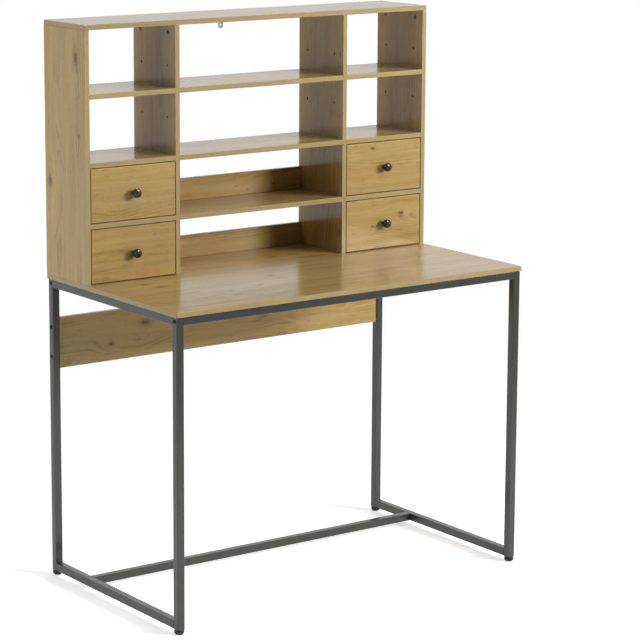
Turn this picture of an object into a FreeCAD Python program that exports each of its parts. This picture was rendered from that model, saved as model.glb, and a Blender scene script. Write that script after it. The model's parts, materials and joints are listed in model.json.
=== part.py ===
import FreeCAD, Part
import os
import re
import Sketcher
from FreeCAD import Placement, Rotation, Vector

# Desk with a shelf and drawer hutch, in millimetres.
# The origin is on the floor under the middle of the desktop.
# X runs along the desk, -Y is the front and +Z is up.

sizes = {
    # desktop and frame
    "top_width": 1000, "top_depth": 565, "desk_height": 744, "desktop_thick": 12,
    "overhang": 2.5, "tube": 19, "tube_wall": 1.2, "tube_round": 1.8, "end_plate": 3,
    "stretcher_setback": 161.5, "stub_length": 25, "stub_gap": 0.3,
    # levelling feet
    "foot_stand": 12, "foot_gap": 0.3, "foot_pad": 23, "foot_base": 17, "foot_taper": 3.5,
    "foot_shoulder": 1.8, "foot_neck": 19, "stud": 8, "stud_length": 20, "stud_gap": 0.3,
    # modesty panel
    "panel_height": 124, "panel_drop": 106, "panel_thick": 12,
    "panel_bolt_top": 22.5, "panel_bolt_low": 29.5,
    # bolts through the legs
    "bolt": 6, "bolt_length": 30, "bolt_head": 10, "bolt_head_high": 2.2, "bolt_gap": 0.25,
    "thread_gap": 0.1, "bore_spare": 0.5,
    # screws that hold the desktop down
    "screw": 4, "screw_length": 28, "screw_head": 8, "screw_head_high": 2, "screw_inset": 130,
    "screw_gap": 0.3,
    # hutch boards
    "hutch_depth": 184, "board": 12, "side_bay": 236, "drawer_bay": 131, "cubby_low": 148,
    "cubby_high": 148, "strip_height": 56, "edge_ease": 0.8,
    # holes for shelf supports
    "pin_hole": 5, "pin_depth": 8, "pin_setback": 36, "pin_rise_low": 88.5, "pin_rise_high": 50.5,
    # cams that draw the uprights tight to the hutch's top and to the desktop
    "cam": 12, "cam_depth": 9, "cam_edge": 19, "cam_setback": 31, "fit_gap": 0.1,
    # drawers
    "front_gap": 2, "drawer_front": 12, "drawer_side": 10, "drawer_box": 100, "drawer_float": 0.3,
    "drawer_rear_gap": 2, "drawer_bottom": 3, "bottom_rise": 8, "groove": 5, "groove_gap": 0.15,
    # knobs
    "knob_ball": 22, "knob_reach": 15, "knob_neck": 9, "knob_stud": 5, "knob_stud_in": 10,
    # bracket that ties the hutch to a wall
    "bracket_wide": 15, "bracket_drop": 34, "bracket_reach": 25, "bracket_thick": 2,
    "bracket_round": 7, "bracket_hole": 5, "bracket_hole_up": 9, "bracket_screw_back": 15,
    "bracket_screw": 3, "bracket_screw_in": 8, "bracket_screw_head": 6,
    "bracket_screw_head_high": 1.8,
}

# Sizes and places that follow from the ones above, written as formulas.
derived = {
    "half_width": "top_width / 2",
    "half_depth": "top_depth / 2",
    "frame_side": "half_width - overhang",
    "frame_front": "half_depth - overhang",
    "leg_centre_side": "frame_side - tube / 2",
    "leg_centre_front": "frame_front - tube / 2",
    "desk_underside": "desk_height - desktop_thick",
    "leg_length": "desk_underside - foot_stand",
    "rail_span": "2 * frame_side - 2 * tube",
    "side_span": "2 * frame_front - 2 * tube",
    "rail_low": "desk_underside - tube",
    "rail_middle": "desk_underside - tube / 2",
    "tube_bore": "tube - 2 * tube_wall",
    "stretcher_line": "half_depth - stretcher_setback",
    "foot_top": "foot_stand - foot_gap",
    "panel_low": "desk_height - panel_drop - panel_height",
    "bolt_bore": "bolt + 2 * bolt_gap",
    "thread_bore": "bolt + 2 * thread_gap",
    "bolt_in": "bolt_length - tube",
    "screw_bore": "screw + 2 * screw_gap",
    "screw_in": "screw_length - tube",
    "hutch_front": "half_depth - hutch_depth",
    "middle_bay": "top_width - 4 * board - 2 * side_bay",
    "upright_height": "2 * drawer_bay + cubby_low + cubby_high + 3 * board",
    "drawer_shelf_rise": "drawer_bay",
    "lower_shelf_rise": "2 * drawer_bay + board",
    "upper_shelf_rise": "lower_shelf_rise + board + cubby_low",
    "hutch_top_low": "desk_height + upright_height",
    "divider_in": "board + side_bay",
    "cam_bore": "cam + 2 * fit_gap",
    "drawer_wide": "side_bay - 2 * front_gap",
    "drawer_high": "drawer_bay - 2 * front_gap",
    "side_length": "hutch_depth - board - drawer_rear_gap - drawer_front",
    "groove_wide": "drawer_bottom + 2 * groove_gap",
    "groove_rise": "bottom_rise - groove_gap",
    "panel_between": "drawer_wide - 2 * drawer_side",
    "tray_wide": "panel_between + 2 * groove - 2 * groove_gap",
    "tray_long": "side_length - drawer_side + 2 * groove - 2 * groove_gap",
    "knob_bore": "knob_stud + 2 * fit_gap",
    "bracket_screw_bore": "bracket_screw + 2 * fit_gap",
}

doc = FreeCAD.newDocument("desk_with_hutch")
sheet = doc.addObject("Spreadsheet::Sheet", "sizes")
for row, (alias, amount) in enumerate(sizes.items(), start=1):
    sheet.set("A%d" % row, alias)
    sheet.set("B%d" % row, str(amount))
    sheet.setAlias("B%d" % row, alias)
doc.recompute()

nodes = []
extents = {}
planes = {
    "-X": ("YZ_Plane", True), "+X": ("YZ_Plane", False), "-Y": ("XZ_Plane", False),
    "+Y": ("XZ_Plane", True), "-Z": ("XY_Plane", True), "+Z": ("XY_Plane", False),
}
along = {
    "+X": Rotation(Vector(0, 0, 1), Vector(1, 0, 0)), "-X": Rotation(Vector(0, 0, 1), Vector(-1, 0, 0)),
    "-Y": Rotation(Vector(0, 0, 1), Vector(0, -1, 0)), "+Y": Rotation(Vector(0, 0, 1), Vector(0, 1, 0)),
    "+Z": Rotation(),
}


def formula(text):
    """Turn names of sizes into references to the sheet's cells."""
    def swap(match):
        word = match.group(0)
        if word in derived:
            return "(" + formula(derived[word]) + ")"
        return "sizes." + word
    return re.sub(r"[a-z_]+", swap, text)


def place(thing, at, turn=None):
    thing.Placement = Placement(Vector(), turn or Rotation())
    for axis, text in zip("xyz", at):
        thing.setExpression("Placement.Base." + axis, formula(text))


def new_body(label):
    body = doc.addObject("PartDesign::Body", label)
    body.Label = label
    return body


def new_sketch(body, plane, lift="0"):
    sketch = body.newObject("Sketcher::SketchObject", body.Name + "_sketch")
    origin = [part for part in body.Origin.OriginFeatures if part.Role == plane]
    sketch.AttachmentSupport = [(origin[0], "")]
    sketch.MapMode = "FlatFace"
    if lift != "0":
        sketch.setExpression("AttachmentOffset.Base.z", formula(lift))
    return sketch


def pin_point(sketch, geometry, point, across, up):
    """Hold one point of a sketch at its two distances from the sketch's axes."""
    for kind, axis, text in (("DistanceX", -2, across), ("DistanceY", -1, up)):
        if text == "0":
            sketch.addConstraint(Sketcher.Constraint("PointOnObject", geometry, point, axis))
            continue
        index = sketch.addConstraint(Sketcher.Constraint(kind, -1, 1, geometry, point, value(text)))
        sketch.setExpression("Constraints[%d]" % index, formula(text))


def value(text):
    return float(sheet.evalExpression(formula(text)))


def draw_outline(sketch, corners):
    spots = [Vector(value(across), value(up), 0) for across, up in corners]
    count = len(corners)
    for index in range(count):
        sketch.addGeometry(Part.LineSegment(spots[index], spots[(index + 1) % count]), False)
    for index in range(count):
        after = (index + 1) % count
        sketch.addConstraint(Sketcher.Constraint("Coincident", index, 2, after, 1))
    for index, (across, up) in enumerate(corners):
        pin_point(sketch, index, 1, across, up)


def draw_circles(sketch, spots, diameter):
    for across, up in spots:
        centre = Vector(value(across), value(up), 0)
        index = sketch.addGeometry(Part.Circle(centre, Vector(0, 0, 1), value(diameter) / 2), False)
        pin_point(sketch, index, 3, across, up)
        size = sketch.addConstraint(Sketcher.Constraint("Diameter", index, value(diameter)))
        sketch.setExpression("Constraints[%d]" % size, formula(diameter))


def pad(body, sketch, length):
    feature = body.newObject("PartDesign::Pad", body.Name + "_pad")
    feature.Profile = sketch
    feature.setExpression("Length", formula(length))
    doc.recompute()
    return feature


def pocket(body, sketch, face, depth):
    """Cut from a face into the piece, right through when no depth is given."""
    before = body.Shape.Volume
    feature = body.newObject("PartDesign::Pocket", body.Name + "_pocket")
    feature.Profile = sketch
    feature.Reversed = planes[face][1]
    if depth:
        feature.setExpression("Length", formula(depth))
    else:
        feature.Type = "ThroughAll"
    doc.recompute()
    if body.Shape.Volume >= before:
        raise ValueError(body.Label + ": a pocket on " + face + " cut nothing")
    return feature


def face_sketch(body, face):
    size = extents[body.Name]["XYZ".index(face[1])]
    lift = {"-": "0", "+": size}[face[0]]
    if face == "+Y":
        lift = "-(" + size + ")"
    return new_sketch(body, planes[face][0], lift)


def drill(body, face, spots, diameter, depth=None):
    sketch = face_sketch(body, face)
    draw_circles(sketch, spots, diameter)
    return pocket(body, sketch, face, depth)


def cut_slot(body, face, corner, size, depth=None):
    """Cut a rectangular slot: its low corner and its size in the face's plane."""
    sketch = face_sketch(body, face)
    draw_outline(sketch, rectangle(corner, size))
    return pocket(body, sketch, face, depth)


def rectangle(corner, size):
    left, low = corner
    right = size[0] if left == "0" else left + " + " + size[0]
    high = size[1] if low == "0" else low + " + " + size[1]
    return [(left, low), (right, low), (right, high), (left, high)]


def block(label, size, at):
    """A board or bar with its own origin at its low corner."""
    body = new_body(label)
    extents[body.Name] = size
    sketch = new_sketch(body, "XY_Plane")
    draw_outline(sketch, rectangle(("0", "0"), size))
    pad(body, sketch, size[2])
    place(body, at)
    return body


def dress_edges(body, kind, amount, chosen):
    """Round or ease the chosen edges of the piece as it stands."""
    names = ["Edge%d" % (index + 1) for index, edge in enumerate(body.Shape.Edges) if chosen(edge)]
    base = body.Tip
    feature = body.newObject("PartDesign::" + kind, body.Name + "_" + kind.lower())
    feature.Base = (base, names)
    feature.setExpression({"Fillet": "Radius", "Chamfer": "Size"}[kind], formula(amount))
    doc.recompute()
    return feature


def runs_along(edge, axis):
    return round(abs(edge.tangentAt(edge.FirstParameter)["XYZ".index(axis)]), 6) == 1


def tube_bar(label, axis, length, at):
    """A hollow square bar with rounded corners, open at both ends."""
    size = ["tube", "tube", "tube"]
    size["XYZ".index(axis)] = length
    body = block(label, size, at)
    dress_edges(body, "Fillet", "tube_round", lambda edge: runs_along(edge, axis))
    cut_slot(body, "-" + axis, ("tube_wall", "tube_wall"), ("tube_bore", "tube_bore"))
    return body


def plate_in_tube(body, axis, end):
    """Weld a flat plate inside one end of a hollow bar."""
    length = extents[body.Name]["XYZ".index(axis)]
    lift = {"low": "0", "high": length}[end]
    if axis == "Y":
        lift = {"low": "0", "high": "-(" + length + ")"}[end]
    sketch = new_sketch(body, planes["+" + axis][0], lift)
    draw_outline(sketch, rectangle(("tube_wall", "tube_wall"), ("tube_bore", "tube_bore")))
    feature = body.newObject("PartDesign::Pad", body.Name + "_plate")
    feature.Profile = sketch
    feature.setExpression("Length", formula("end_plate"))
    feature.Reversed = (end == "high") != (axis == "Y")
    doc.recompute()
    return feature


def turned(label, outline, at, turn="+Z"):
    """A solid of revolution about its own Z axis, from radius and height pairs."""
    body = new_body(label)
    sketch = new_sketch(body, "XZ_Plane")
    draw_outline(sketch, outline)
    feature = body.newObject("PartDesign::Revolution", body.Name + "_turn")
    feature.Profile = sketch
    feature.ReferenceAxis = (sketch, ["V_Axis"])
    place(body, at, along[turn])
    return body


def rod(label, diameter, length, at, turn="+Z"):
    """A plain round bar that starts at its place and runs the way it is turned."""
    bar = doc.addObject("Part::Cylinder", label)
    bar.Label = label
    bar.setExpression("Radius", formula(diameter + " / 2"))
    bar.setExpression("Height", formula(length))
    place(bar, at, along[turn])
    return bar


def keep(thing):
    nodes.append(thing)
    return thing


def group(label, members):
    """Several loose pieces that share one node."""
    bundle = doc.addObject("Part::Compound", label)
    bundle.Label = label
    bundle.Links = members
    return keep(bundle)


sides = {"left": -1, "right": 1}
opposite = {"-X": "+X", "+X": "-X"}


def mirrored(side, low, size):
    """The low X of a piece on the left, or of its mirror image on the right."""
    return low if side == "left" else "-(" + low + ") - (" + size + ")"


def legs():
    rail_hole = ("tube / 2", "leg_length - tube / 2")
    panel_holes = [
        ("tube / 2", "panel_low - foot_stand + panel_bolt_low"),
        ("tube / 2", "panel_low - foot_stand + panel_height - panel_bolt_top"),
    ]
    for side in sides:
        x = mirrored(side, "-frame_side", "tube")
        for end, y in (("front", "-frame_front"), ("rear", "frame_front - tube")):
            leg = tube_bar(side + "_" + end + "_leg", "Z", "leg_length", (x, y, "foot_stand"))
            plate_in_tube(leg, "Z", "low")
            drill(leg, "-Z", [("tube / 2", "tube / 2")], "stud + 2 * stud_gap", "end_plate")
            holes = [rail_hole] + (panel_holes if end == "rear" else [])
            drill(leg, "-X", holes, "bolt_bore")
            keep(leg)


def side_rails():
    for side in sides:
        x = mirrored(side, "-frame_side", "tube")
        inner = "+X" if side == "left" else "-X"
        top = tube_bar(side + "_top_rail", "Y", "side_span", (x, "-frame_front + tube", "rail_low"))
        screws = [("tube / 2", "screw_inset"), ("tube / 2", "side_span - screw_inset")]
        drill(top, "-Z", screws, "screw_bore")
        keep(top)
        low = tube_bar(side + "_bottom_rail", "Y", "side_span", (x, "-frame_front + tube", "foot_stand"))
        sketch = face_sketch(low, inner)
        inset = "tube_wall + stub_gap"
        start = "stretcher_line - tube / 2 + frame_front - tube + " + inset
        stub = "tube_bore - 2 * stub_gap"
        draw_outline(sketch, rectangle((start, inset), (stub, stub)))
        feature = pad(low, sketch, "stub_length")
        feature.Reversed = inner == "-X"
        keep(low)


def cross_rails():
    for name, y in (("front_rail", "-frame_front"), ("rear_rail", "frame_front - tube")):
        rail = tube_bar(name, "X", "rail_span", ("-frame_side + tube", y, "rail_low"))
        for end in ("low", "high"):
            plate_in_tube(rail, "X", end)
        for face in ("-X", "+X"):
            drill(rail, face, [("tube / 2", "tube / 2")], "thread_bore", "end_plate")
        keep(rail)
    at = ("-frame_side + tube", "stretcher_line - tube / 2", "foot_stand")
    keep(tube_bar("stretcher", "X", "rail_span", at))


def feet():
    outline = [
        ("0", "0"), ("foot_base / 2", "0"), ("foot_pad / 2", "foot_taper"),
        ("foot_pad / 2", "foot_top - foot_shoulder"), ("foot_neck / 2", "foot_top"),
        ("stud / 2", "foot_top"), ("stud / 2", "foot_top + stud_length"),
        ("0", "foot_top + stud_length"),
    ]
    for side, sign in sides.items():
        for end, lead in (("front", "-"), ("rear", "")):
            at = ("%d * leg_centre_side" % sign, lead + "leg_centre_front", "0")
            keep(turned(side + "_" + end + "_foot", outline, at))


def screw_outline(size, head, head_high, length):
    """A screw or bolt that points up from its head."""
    return [
        ("0", "0"), (head + " / 2", "0"), (head + " / 2", head_high), (size + " / 2", head_high),
        (size + " / 2", head_high + " + " + length), ("0", head_high + " + " + length),
    ]


def frame_bolts():
    outline = screw_outline("bolt", "bolt_head", "bolt_head_high", "bolt_length")
    places = [
        ("-leg_centre_front", "rail_middle"), ("leg_centre_front", "rail_middle"),
        ("leg_centre_front", "panel_low + panel_bolt_low"),
        ("leg_centre_front", "panel_low + panel_height - panel_bolt_top"),
    ]
    bolts = []
    for side, sign in sides.items():
        x = "%d * (frame_side + bolt_head_high)" % sign
        turn = "+X" if side == "left" else "-X"
        for y, z in places:
            bolts.append(turned("frame_bolt_%d" % (len(bolts) + 1), outline, (x, y, z), turn))
    group("frame_bolts", bolts)


def desktop_screw_spots():
    """Where the screws stand, from the low corner of the desktop."""
    first = "overhang + tube + screw_inset"
    columns = ("overhang + tube / 2", "top_width - overhang - tube / 2")
    return [(x, y) for y in (first, "top_depth - (" + first + ")") for x in columns]


def desktop_screws():
    outline = screw_outline("screw", "screw_head", "screw_head_high", "screw_length")
    screws = []
    for x, y in desktop_screw_spots():
        at = (x + " - half_width", y + " - half_depth", "rail_low - screw_head_high")
        screws.append(turned("desktop_screw_%d" % (len(screws) + 1), outline, at))
    group("desktop_screws", screws)


def upright_lines():
    """Middle of each upright, from the left end of the desktop."""
    outer = "board / 2"
    inner = "divider_in + board / 2"
    return [outer, inner, "top_width - (" + inner + ")", "top_width - " + outer]


def desktop():
    top = block("desktop", ("top_width", "top_depth", "desktop_thick"),
                ("-half_width", "-half_depth", "desk_underside"))
    dress_edges(top, "Chamfer", "edge_ease", lambda edge: True)
    drill(top, "-Z", desktop_screw_spots(), "screw_bore", "screw_in + bore_spare")
    keep(top)


def modesty_panel():
    at = ("-frame_side + tube", "leg_centre_front - panel_thick / 2", "panel_low")
    panel = block("modesty_panel", ("rail_span", "panel_thick", "panel_height"), at)
    middle = "panel_thick / 2"
    holes = [(middle, "panel_bolt_low"), (middle, "panel_height - panel_bolt_top")]
    for face in ("-X", "+X"):
        drill(panel, face, holes, "thread_bore", "bolt_in + bore_spare")
    keep(panel)


shelf_rises = {
    "drawer_shelf": "drawer_shelf_rise", "lower_shelf": "lower_shelf_rise",
    "upper_shelf": "upper_shelf_rise",
}
cam_spots = [
    ("cam_setback", "upright_height - cam_edge"), ("hutch_depth - cam_setback", "upright_height - cam_edge"),
    ("hutch_depth / 2", "cam_edge"),
]
pin_rows = ("pin_setback", "hutch_depth - pin_setback")
pin_heights = ("lower_shelf_rise + board + pin_rise_low", "upper_shelf_rise + board + pin_rise_high")


def upright(label, x, cam_face, through):
    """A side panel or divider. Its cams open on one face and its small holes are alike."""
    panel = block(label, ("board", "hutch_depth", "upright_height"), (x, "hutch_front", "desk_height"))
    drill(panel, cam_face, cam_spots, "cam_bore", "cam_depth + fit_gap")
    pins = [(y, z) for y in pin_rows for z in pin_heights]
    drill(panel, cam_face, pins, "pin_hole", None if through else "pin_depth")
    keep(panel)


def uprights():
    for side in sides:
        inner = "+X" if side == "left" else "-X"
        outer_x = mirrored(side, "-half_width", "board")
        divider_x = mirrored(side, "-half_width + divider_in", "board")
        upright(side + "_side_panel", outer_x, inner, False)
        upright(side + "_divider", divider_x, opposite[inner], True)


def shelves():
    middle_names = {"drawer_shelf": "middle_lower_shelf", "lower_shelf": "middle_shelf",
                    "upper_shelf": "middle_upper_shelf"}
    for name, rise in shelf_rises.items():
        depth = "hutch_depth - board" if name == "drawer_shelf" else "hutch_depth"
        low = "desk_height + " + rise
        for side in sides:
            x = mirrored(side, "-half_width + board", "side_bay")
            keep(block(side + "_" + name, ("side_bay", depth, "board"), (x, "hutch_front", low)))
        size = ("middle_bay", "hutch_depth", "board")
        keep(block(middle_names[name], size, ("-middle_bay / 2", "hutch_front", low)))


def hutch_top():
    top = block("hutch_top", ("top_width", "hutch_depth", "board"),
                ("-half_width", "hutch_front", "hutch_top_low"))
    dress_edges(top, "Chamfer", "edge_ease", lambda edge: True)
    drill(top, "-Z", [("half_width", "hutch_depth - bracket_screw_back")], "bracket_screw_bore",
          "bracket_screw_in + bore_spare")
    keep(top)


def back_pieces():
    strip = ("middle_bay", "board", "strip_height")
    rear = "half_depth - board"
    keep(block("lower_back_strip", strip, ("-middle_bay / 2", rear, "desk_height")))
    on_shelf = "desk_height + drawer_shelf_rise + board"
    keep(block("upper_back_strip", strip, ("-middle_bay / 2", rear, on_shelf)))
    for side in sides:
        x = mirrored(side, "-half_width + board", "side_bay")
        size = ("side_bay", "board", "lower_shelf_rise")
        keep(block(side + "_drawer_back_panel", size, (x, rear, "desk_height")))


def cam_fittings():
    cams = []
    for index, line in enumerate(upright_lines()):
        opens_right = index in (0, 2)
        face = line + (" + board / 2" if opens_right else " - board / 2") + " - half_width"
        for y, z in cam_spots:
            at = (face, "hutch_front + " + y, "desk_height + " + z)
            inward = "-X" if opens_right else "+X"
            cams.append(rod("cam_%d" % (len(cams) + 1), "cam", "cam_depth", at, inward))
    group("cam_fittings", cams)


def wall_bracket():
    body = new_body("wall_bracket")
    extents[body.Name] = ("bracket_wide", "bracket_reach", "bracket_drop")
    sketch = new_sketch(body, "YZ_Plane")
    inside = "bracket_reach - bracket_thick"
    draw_outline(sketch, [
        (inside, "0"), ("bracket_reach", "0"), ("bracket_reach", "bracket_drop"), ("0", "bracket_drop"),
        ("0", "bracket_drop - bracket_thick"), (inside, "bracket_drop - bracket_thick"),
    ])
    pad(body, sketch, "bracket_wide")
    low_edge = value("bracket_thick")
    dress_edges(body, "Fillet", "bracket_round",
                lambda edge: runs_along(edge, "Y") and edge.CenterOfMass.z < low_edge)
    drill(body, "+Y", [("bracket_wide / 2", "bracket_hole_up")], "bracket_hole")
    drill(body, "+Z", [("bracket_wide / 2", "bracket_reach - bracket_screw_back")], "bracket_screw_bore")
    place(body, ("-bracket_wide / 2", "half_depth - bracket_reach", "hutch_top_low - bracket_drop"))
    keep(body)
    outline = screw_outline("bracket_screw", "bracket_screw_head", "bracket_screw_head_high",
                            "bracket_thick + bracket_screw_in")
    under = "hutch_top_low - bracket_thick - bracket_screw_head_high"
    keep(turned("bracket_screw", outline, ("0", "half_depth - bracket_screw_back", under)))


def knob(label, x, z):
    """A ball on a short neck, with a stud that screws into the drawer front."""
    ball = doc.addObject("Part::Sphere", label + "_ball")
    ball.setExpression("Radius", formula("knob_ball / 2"))
    place(ball, (x, "hutch_front - knob_reach", z), along["-Y"])
    neck = rod(label + "_neck", "knob_neck", "knob_reach", (x, "hutch_front", z), "-Y")
    stud_end = (x, "hutch_front + knob_stud_in", z)
    stud = rod(label + "_stud", "knob_stud", "knob_stud_in + knob_reach", stud_end, "-Y")
    whole = doc.addObject("Part::MultiFuse", label)
    whole.Label = label
    whole.Shapes = [ball, neck, stud]
    keep(whole)


def drawer(side, level, bay_low):
    name = side + "_" + level + "_drawer_"
    x = mirrored(side, "-half_width + board", "side_bay") + " + front_gap"
    box_low = bay_low + " + drawer_float"
    box_front = "hutch_front + drawer_front"
    front = block(name + "front", ("drawer_wide", "drawer_front", "drawer_high"),
                  (x, "hutch_front", bay_low + " + front_gap"))
    face_edge = value("edge_ease")
    dress_edges(front, "Chamfer", "edge_ease", lambda edge: edge.CenterOfMass.y < face_edge)
    drill(front, "-Y", [("drawer_wide / 2", "drawer_high / 2")], "knob_bore", "knob_stud_in + bore_spare")
    groove_at = ("drawer_side - groove", "groove_rise + drawer_float - front_gap")
    groove_size = ("panel_between + 2 * groove", "groove_wide")
    cut_slot(front, "+Y", groove_at, groove_size, "groove")
    keep(front)
    pair = []
    far = x + " + drawer_wide - drawer_side"
    for tag, at_x, inner in (("left", x, "+X"), ("right", far, "-X")):
        wall = block(name + tag + "_side", ("drawer_side", "side_length", "drawer_box"),
                     (at_x, box_front, box_low))
        cut_slot(wall, inner, ("0", "groove_rise"), ("side_length", "groove_wide"), "groove")
        pair.append(wall)
    group(name + "sides", pair)
    back = block(name + "back", ("panel_between", "drawer_side", "drawer_box"),
                 (x + " + drawer_side", box_front + " + side_length - drawer_side", box_low))
    cut_slot(back, "-Y", ("0", "groove_rise"), ("panel_between", "groove_wide"), "groove")
    keep(back)
    keep(block(name + "bottom", ("tray_wide", "tray_long", "drawer_bottom"),
               (x + " + drawer_side - groove + groove_gap", box_front + " - groove + groove_gap",
                box_low + " + bottom_rise")))
    knob(name + "knob", x + " + drawer_wide / 2", bay_low + " + drawer_bay / 2")


def drawers():
    for side in sides:
        drawer(side, "upper", "desk_height + drawer_shelf_rise + board")
        drawer(side, "lower", "desk_height")


legs()
side_rails()
cross_rails()
feet()
frame_bolts()
modesty_panel()
desktop()
desktop_screws()
uprights()
shelves()
hutch_top()
back_pieces()
cam_fittings()
wall_bracket()
drawers()
doc.recompute()

for thing in doc.Objects:
    if "Invalid" in thing.State or "Error" in thing.State:
        raise ValueError(thing.Label + " did not compute")
for node in nodes:
    if node.Shape.isNull() or not node.Shape.isValid():
        raise ValueError(node.Label + " has no valid shape")

os.makedirs("parts", exist_ok=True)
for node in nodes:
    node.Shape.exportStep("parts/" + node.Label + ".step")
    print(node.Label, len(node.Shape.Solids), "solids", round(node.Shape.Volume / 1000, 1), "cm3")
whole = Part.makeCompound([node.Shape for node in nodes])
print(len(nodes), "nodes", whole.BoundBox)
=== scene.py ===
import json
import math
import random

import bmesh
import bpy
from mathutils import Matrix, Vector


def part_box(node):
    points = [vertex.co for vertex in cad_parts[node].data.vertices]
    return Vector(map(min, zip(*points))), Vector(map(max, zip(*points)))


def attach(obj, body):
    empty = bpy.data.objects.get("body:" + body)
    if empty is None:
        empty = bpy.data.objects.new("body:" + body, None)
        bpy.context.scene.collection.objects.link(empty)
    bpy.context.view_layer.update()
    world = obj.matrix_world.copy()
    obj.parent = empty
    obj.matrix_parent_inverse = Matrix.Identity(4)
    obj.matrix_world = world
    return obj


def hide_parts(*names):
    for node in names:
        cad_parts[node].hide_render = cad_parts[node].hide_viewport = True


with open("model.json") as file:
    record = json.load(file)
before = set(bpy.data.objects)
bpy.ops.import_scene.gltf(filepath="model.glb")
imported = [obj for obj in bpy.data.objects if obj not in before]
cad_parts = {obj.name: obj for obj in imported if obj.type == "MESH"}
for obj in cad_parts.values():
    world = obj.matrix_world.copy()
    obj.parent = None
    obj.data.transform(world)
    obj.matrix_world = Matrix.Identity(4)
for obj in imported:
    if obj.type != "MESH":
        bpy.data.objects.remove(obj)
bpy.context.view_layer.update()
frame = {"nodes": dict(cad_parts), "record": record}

scene = bpy.context.scene
record = frame["record"]
bodyOf = {node: body for body, members in record["behaviour"]["bodies"].items() for node in members}
slotOf = {part["node"]: part["material_slot"] for part in record["subparts"]}


# Camera, solved from the photo's edge lines: metres, radians, and millimetres for the lens

camera = {
    "place": (-3.43641, -4.79548, 1.86015), "yaw": 0.60665, "pitch": -0.17757, "roll": 0.00113,
    "lens": 140.341, "shift": (0.11042, -0.11529),
}


def aimCamera(data):
    yaw, pitch, roll = data["yaw"], data["pitch"], data["roll"]
    ahead = Vector((math.sin(yaw) * math.cos(pitch), math.cos(yaw) * math.cos(pitch), math.sin(pitch)))
    level = Vector((math.cos(yaw), -math.sin(yaw), 0))
    upright = level.cross(ahead)
    right = math.cos(roll) * level + math.sin(roll) * upright
    up = math.cos(roll) * upright - math.sin(roll) * level
    lens = bpy.data.cameras.new("studioCamera")
    lens.lens = data["lens"]
    lens.shift_x, lens.shift_y = data["shift"]
    holder = bpy.data.objects.new("studioCamera", lens)
    scene.collection.objects.link(holder)
    holder.matrix_world = Matrix((right, up, -ahead)).transposed().to_4x4()
    holder.location = data["place"]
    scene.camera = holder


aimCamera(camera)
print("camera set")


# Shader helpers

def feed(tree, socket, value):
    if isinstance(value, bpy.types.NodeSocket):
        tree.links.new(value, socket)
    elif value is not None:
        socket.default_value = value


def addNode(tree, kind, settings=None, **inputs):
    made = tree.nodes.new(kind)
    for key, value in (settings or {}).items():
        setattr(made, key, value)
    for key, value in inputs.items():
        feed(tree, made.inputs[key.replace("_", " ")], value)
    return made


def calc(tree, operation, *values, clamp=False):
    made = tree.nodes.new("ShaderNodeMath")
    made.operation = operation
    made.use_clamp = clamp
    for socket, value in zip(made.inputs, values):
        feed(tree, socket, value)
    return made.outputs[0]


def joinVector(tree, x, y, z=0.0):
    return addNode(tree, "ShaderNodeCombineXYZ", X=x, Y=y, Z=z).outputs[0]


def noise(tree, vector, scale=1.0, detail=2.0, roughness=0.5, flat=True):
    made = addNode(tree, "ShaderNodeTexNoise", {"noise_dimensions": "2D" if flat else "3D"},
                   Vector=vector, Scale=scale, Detail=detail, Roughness=roughness)
    return made.outputs[0]


def smooth(tree, value, low, high, start=0.0, end=1.0):
    made = addNode(tree, "ShaderNodeMapRange", {"interpolation_type": "SMOOTHSTEP"}, Value=value)
    for key, amount in (("From Min", low), ("From Max", high), ("To Min", start), ("To Max", end)):
        feed(tree, made.inputs[key], amount)
    return made.outputs[0]


def blendColour(tree, share, first, second):
    made = tree.nodes.new("ShaderNodeMix")
    made.data_type = "RGBA"
    feed(tree, made.inputs[0], share)
    for socket, value in ((made.inputs[6], first), (made.inputs[7], second)):
        feed(tree, socket, value if isinstance(value, bpy.types.NodeSocket) else (*value, 1.0))
    return made.outputs[2]


def newMaterial(name):
    material = bpy.data.materials.new(name)
    material.use_nodes = True
    material.node_tree.nodes.clear()
    return material, material.node_tree


def finishMaterial(tree, settings, height=None, depth=0.0001, **linked):
    shader = tree.nodes.new("ShaderNodeBsdfPrincipled")
    for key, value in {**settings, **linked}.items():
        feed(tree, shader.inputs[key.replace("_", " ")], value)
    if height is not None:
        bump = addNode(tree, "ShaderNodeBump", Height=height, Distance=depth, Strength=1.0)
        tree.links.new(bump.outputs[0], shader.inputs["Normal"])
    output = tree.nodes.new("ShaderNodeOutputMaterial")
    tree.links.new(shader.outputs[0], output.inputs[0])


# Oak laminate. The UV map "grain" runs along the grain in U and across it in V, in metres

oak = {
    "light": (0.495, 0.345, 0.128), "mid": (0.412, 0.277, 0.088), "dark": (0.225, 0.136, 0.042),
    "grey": (0.365, 0.262, 0.118), "warm": (0.400, 0.238, 0.066), "pore": (0.110, 0.062, 0.022),
    "knot": (0.075, 0.040, 0.017), "tape": (0.400, 0.322, 0.160),
    "plankWidth": 0.098, "ringsPerMetre": 190.0, "poreDepth": 0.000012, "plankTone": 0.07, "raysShift": 7.7,
    "warmShift": 3.3,
}
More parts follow.
